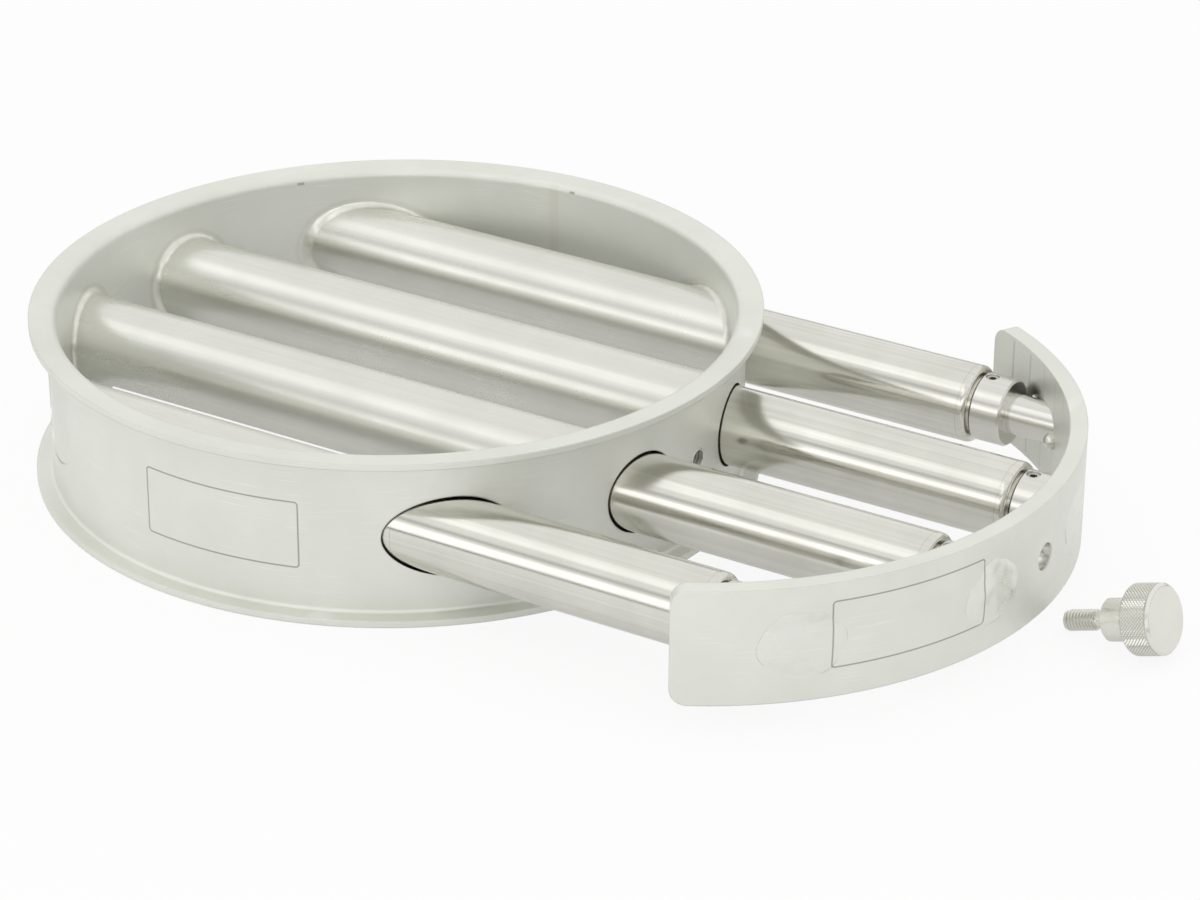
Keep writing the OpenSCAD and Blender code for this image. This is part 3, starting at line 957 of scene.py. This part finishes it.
def wind_thread(root, crest, start, end):
    flat = THREAD_PITCH / FLAT_SHARE
    slope = THREAD_PITCH / 2 - flat
    low = start - THREAD_PITCH
    piece = draw_section([(low, root), (low + flat, root), (low + flat + slope, crest),
                          (low + 2 * flat + slope, crest), (low + THREAD_PITCH, root)])
    leave_edit()
    add_modifier(piece, "SCREW", axis="X", screw_offset=THREAD_PITCH, steps=THREAD_STEPS,
                 render_steps=THREAD_STEPS, use_merge_vertices=True, merge_threshold=MERGE,
                 iterations=math.ceil((end - start) / THREAD_PITCH) + 2)
    apply_all(piece)
    bpy.ops.object.mode_set(mode="EDIT")
    return piece


def cut_ends(start, end, fill):
    for place, way in ((start, -1), (end, 1)):
        bpy.ops.mesh.select_all(action="SELECT")
        bpy.ops.mesh.bisect(plane_co=(place, 0, 0), plane_no=(way, 0, 0), use_fill=fill,
                            clear_outer=True, threshold=CUT_EXACT)


def turn_faces(inside):
    bpy.ops.mesh.select_all(action="SELECT")
    bpy.ops.mesh.normals_make_consistent(inside=inside)
    leave_edit()


print("thread helpers ready, pitch", THREAD_PITCH / MM, "mm")

# %% Thread of the stud
THREAD_ROOT, THREAD_END = 2.45 * MM, NECK_FROM + 0.2 * MM
TIP_L, TIP_R, TIP_SHRINK = 0.6 * MM, 2.5 * MM, 0.86
thread = wind_thread(THREAD_ROOT, STUD_R, 0.0, THREAD_END)
cut_ends(0.0, THREAD_END, True)
pick(thread, "VERT", lambda v: v.co.x < TIP_L and from_axis(v.co) > TIP_R)
bpy.ops.transform.resize(value=(1, TIP_SHRINK, TIP_SHRINK), center_override=(0, 0, 0))
turn_faces(inside=False)
print("thread", len(thread.data.polygons), "faces")

# %% [markdown]
# The screw was taken out and lies on the table, on the rim of its head and the tip of its stud,
# so it leans a little. The lean follows from the two radii. Before it is laid down, while its
# axis is still at the origin, the points in its valleys are marked for the painted shade.

# %% Lay the screw on the table
LOCK_AWAY, LOCK_Y, LOCK_TURN = 4 * MM, 8.5 * MM, math.radians(-3)
THREAD_VALLEY_FROM, THREAD_VALLEY_TO, KNURL_VALLEY = 2 * MM, 2.7 * MM, BAND_R + 0.1 * MM
tilt = math.atan((HEAD_R - STUD_R) / HEAD_X)
tip_z = STUD_R * math.cos(tilt) - EDGE * math.sin(tilt)
start_alone()
thread.select_set(True)
screw.select_set(True)
bpy.context.view_layer.objects.active = screw
bpy.ops.object.join()
valley = screw.data.attributes.new("valley", "FLOAT", "POINT")
for vertex in screw.data.vertices:
    reach = from_axis(vertex.co)
    in_thread = vertex.co.x < NECK_FROM and THREAD_VALLEY_FROM < reach < THREAD_VALLEY_TO
    in_knurl = on_band(vertex.co) and reach < KNURL_VALLEY
    valley.data[vertex.index].value = float(in_thread or in_knurl)
screw.rotation_euler = (0, -tilt, LOCK_TURN)
screw.location = (PULL_OUT + PLATE_OUT + LOCK_AWAY, LOCK_Y, tip_z)
print("screw laid at", [round(v / MM, 1) for v in screw.location], "mm")
keep_piece(screw, "knurled_screw", "extractor", screw_steel)
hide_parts("lock_screw")

# %% [markdown]
# ## Holes for the screw
# The ring has a tapped hole, of which only the inside of the thread is seen. The same helper
# winds it, its ends are left open, its faces are turned to the axis, and it gets a thin back.

# %% Thread of the ring's tapped hole
TAP_ROOT, TAP_CREST, TAP_BACK = 2.55 * MM, 2.9 * MM, 0.06 * MM
tap_from, tap_to = RING_IN + 0.2 * MM, RING_OUT - 0.5 * MM
tapped = wind_thread(TAP_ROOT, TAP_CREST, tap_from, tap_to)
cut_ends(tap_from, tap_to, False)
turn_faces(inside=True)
give_back(tapped, TAP_BACK)
apply_all(tapped)
tapped.location = (0, 0, MID_Z)
# The thread's dark finish is painted shade for the inside of the hole.
keep_piece(tapped, "ring_thread", "housing", thread_steel)
print("ring thread", len(tapped.data.polygons), "faces")

# %% [markdown]
# The tap pushed up a low bright burr round its hole. It is turned like the screw: a small
# section, drawn as a closed loop, and spun round the hole's axis. A torus would be quicker, but
# a burr is flat on top and steeper on the inside.

# %% Burr of the tapped hole
TAPPED_R, HOLE_STEPS = 3 * MM, 64
BURR = [(-0.30, -0.02), (0.10, -0.02), (0.20, 0.10), (0.20, 0.32), (0.06, 0.56), (-0.30, 0.56),
        (-0.30, -0.02)]
tapped_rim = spin_section([(RING_OUT + x * MM, TAPPED_R + r * MM) for x, r in BURR], HOLE_STEPS)
leave_edit()
tapped_rim.location = (0, 0, MID_Z)
keep_piece(tapped_rim, "tapped_rim", "housing", turned_steel)
print("burr of the tapped hole", len(tapped_rim.data.polygons), "faces")

# %% [markdown]
# The lock hole of the plate was drilled last, so its wall is bright and mirrors the studio. The
# plate's finish covers the whole plate, so the drilled skin is a thin turned tube in the hole.

# %% Drilled wall of the lock hole
LOCK_HOLE_R, SKIN, SKIN_CLEAR = 4 * MM, 0.15 * MM, 0.01 * MM
hole_from, hole_to = PULL_OUT + PLATE_IN + 0.06 * MM, PULL_OUT + PLATE_OUT - 0.08 * MM
skin_in, skin_out = LOCK_HOLE_R - SKIN, LOCK_HOLE_R - SKIN_CLEAR
drilled = spin_section([(hole_from, skin_in), (hole_to - SKIN, skin_in), (hole_to, skin_out),
                        (hole_from, skin_out), (hole_from, skin_in)], HOLE_STEPS)
leave_edit()
drilled.location = (0, 0, MID_Z)
keep_piece(drilled, "drilled_wall", "extractor", turned_steel)
print("drilled wall of", len(drilled.data.polygons), "faces")

# %% [markdown]
# ## Welds of the plate
# The stubs of the couplings go through the plate. They were plug-welded on its outside, and
# the spots were ground and blasted until only low, uneven swellings were left. Each is a disc
# of rings, swayed out of round, wrapped on the plate's curve and fattened towards its middle.

# %% Shape of a weld spot
SPOT_HIGH, SPOT_POINTS = 9.4 * MM, 40
SPOT_INSETS = [1.7, 2.0, 2.2, 1.8]
SPOT_LIFTS = [0.36, 0.30, 0.16, 0.06]
RING_NEAR, SPOT_SUNK = 0.3, 0.06 * MM


def spot_disc(y, wide):
    piece = disc_across(PULL_OUT, y, wide, SPOT_POINTS)
    for step in SPOT_INSETS:
        bpy.ops.mesh.inset(thickness=step * MM)
    bpy.ops.mesh.poke()
    leave_edit()
    reach = [from_bar(v.co, y) for v in piece.data.vertices]
    edit_all()
    narrow = math.sqrt(1 - (y / PLATE_OUT) ** 2)
    bpy.ops.transform.resize(value=(1, narrow, SPOT_HIGH / wide), center_override=(0, y, MID_Z))
    leave_edit()
    return piece, reach


def swell(piece, reach, wide):
    bpy.ops.object.mode_set(mode="EDIT")
    for k, lift in enumerate(SPOT_LIFTS):
        ring_reach = wide - (sum(SPOT_INSETS[:k + 1]) - RING_NEAR) * MM
        pick(piece, "VERT", lambda v: reach[v.index] < ring_reach)
        bpy.ops.transform.shrink_fatten(value=lift * MM)
    bpy.ops.mesh.select_all(action="SELECT")
    bpy.ops.transform.shrink_fatten(value=-SPOT_SUNK)
    leave_edit()


print("spot helpers ready")

# %% Weld spots
SPOTS = [(1.5 * MM, 13.0 * MM), (0.0, 10.8 * MM), (0.0, 10.8 * MM), (-1.5 * MM, 13.0 * MM)]
SWAY, RIPPLE, SPOT_BACK, SPOT_LEVELS = 3.5 * MM, 1.0 * MM, 0.5 * MM, 2
ripples = clouds_texture("weld_ripples", 7.5 * MM, 1)
sways = {"Y": clouds_texture("sway_y", 9 * MM, 1), "Z": clouds_texture("sway_z", 12 * MM, 1)}
outer_wall = helper_wall(PLATE_OUT, PULL_OUT)
for i, (bar_y, (shift, wide)) in enumerate(zip(BAR_Y, SPOTS)):
    spot, reach = spot_disc(bar_y + shift, wide)
    for way, texture in sways.items():
        displace(spot, texture, SWAY, way)
    throw_on(spot, outer_wall, 1)
    apply_all(spot)
    swell(spot, reach, wide)
    add_modifier(spot, "SUBSURF", levels=SPOT_LEVELS, render_levels=SPOT_LEVELS)
    displace(spot, ripples, RIPPLE)
    give_back(spot, SPOT_BACK)
    apply_all(spot)
    keep_piece(spot, f"weld_spot_{i + 1}", "extractor", spot_steel)
clear_away([outer_wall])
print("4 weld spots of", len(spot.data.polygons), "faces")

# %% [markdown]
# On the inside of the plate, two small tack welds hold each stub: one high on the far side, and
# a larger one low on the near side. A tack is a drop of metal, so a ball is flattened into the
# corner between stub and plate and roughened.

# %% Tack welds
STUB_R, TACK_OUT, TACK_SUNK = 6 * MM, 0.2 * MM, 0.4 * MM
TACKS = [(42, 1.5), (206, 3.0)]
TACK_SEGMENTS, TACK_RINGS, TACK_SQUASH, TACK_ROUGH = 24, 14, (0.75, 1.0, 0.8), 0.55 * MM
tack_lumps = clouds_texture("tack_lumps", 1.3 * MM)
for i, y in enumerate(BAR_Y):
    for k, (angle, size) in enumerate(TACKS):
        start_alone()
        turn = math.radians(angle)
        tack_y = y + (STUB_R + TACK_OUT) * math.cos(turn)
        tack_z = MID_Z + (STUB_R + TACK_OUT) * math.sin(turn)
        tack_x = PULL_OUT + math.sqrt(PLATE_IN ** 2 - tack_y ** 2) - TACK_SUNK
        bpy.ops.mesh.primitive_uv_sphere_add(segments=TACK_SEGMENTS, ring_count=TACK_RINGS,
                                             radius=size * MM, location=(tack_x, tack_y, tack_z))
        tack = bpy.context.object
        tack.scale = TACK_SQUASH
        bpy.ops.object.transform_apply(location=True, rotation=True, scale=True)
        displace(tack, tack_lumps, TACK_ROUGH)
        apply_all(tack)
        keep_piece(tack, f"tack_weld_{i + 1}_{k + 1}", "extractor", weld_metal)
print(len(BAR_Y) * len(TACKS), "tack welds")
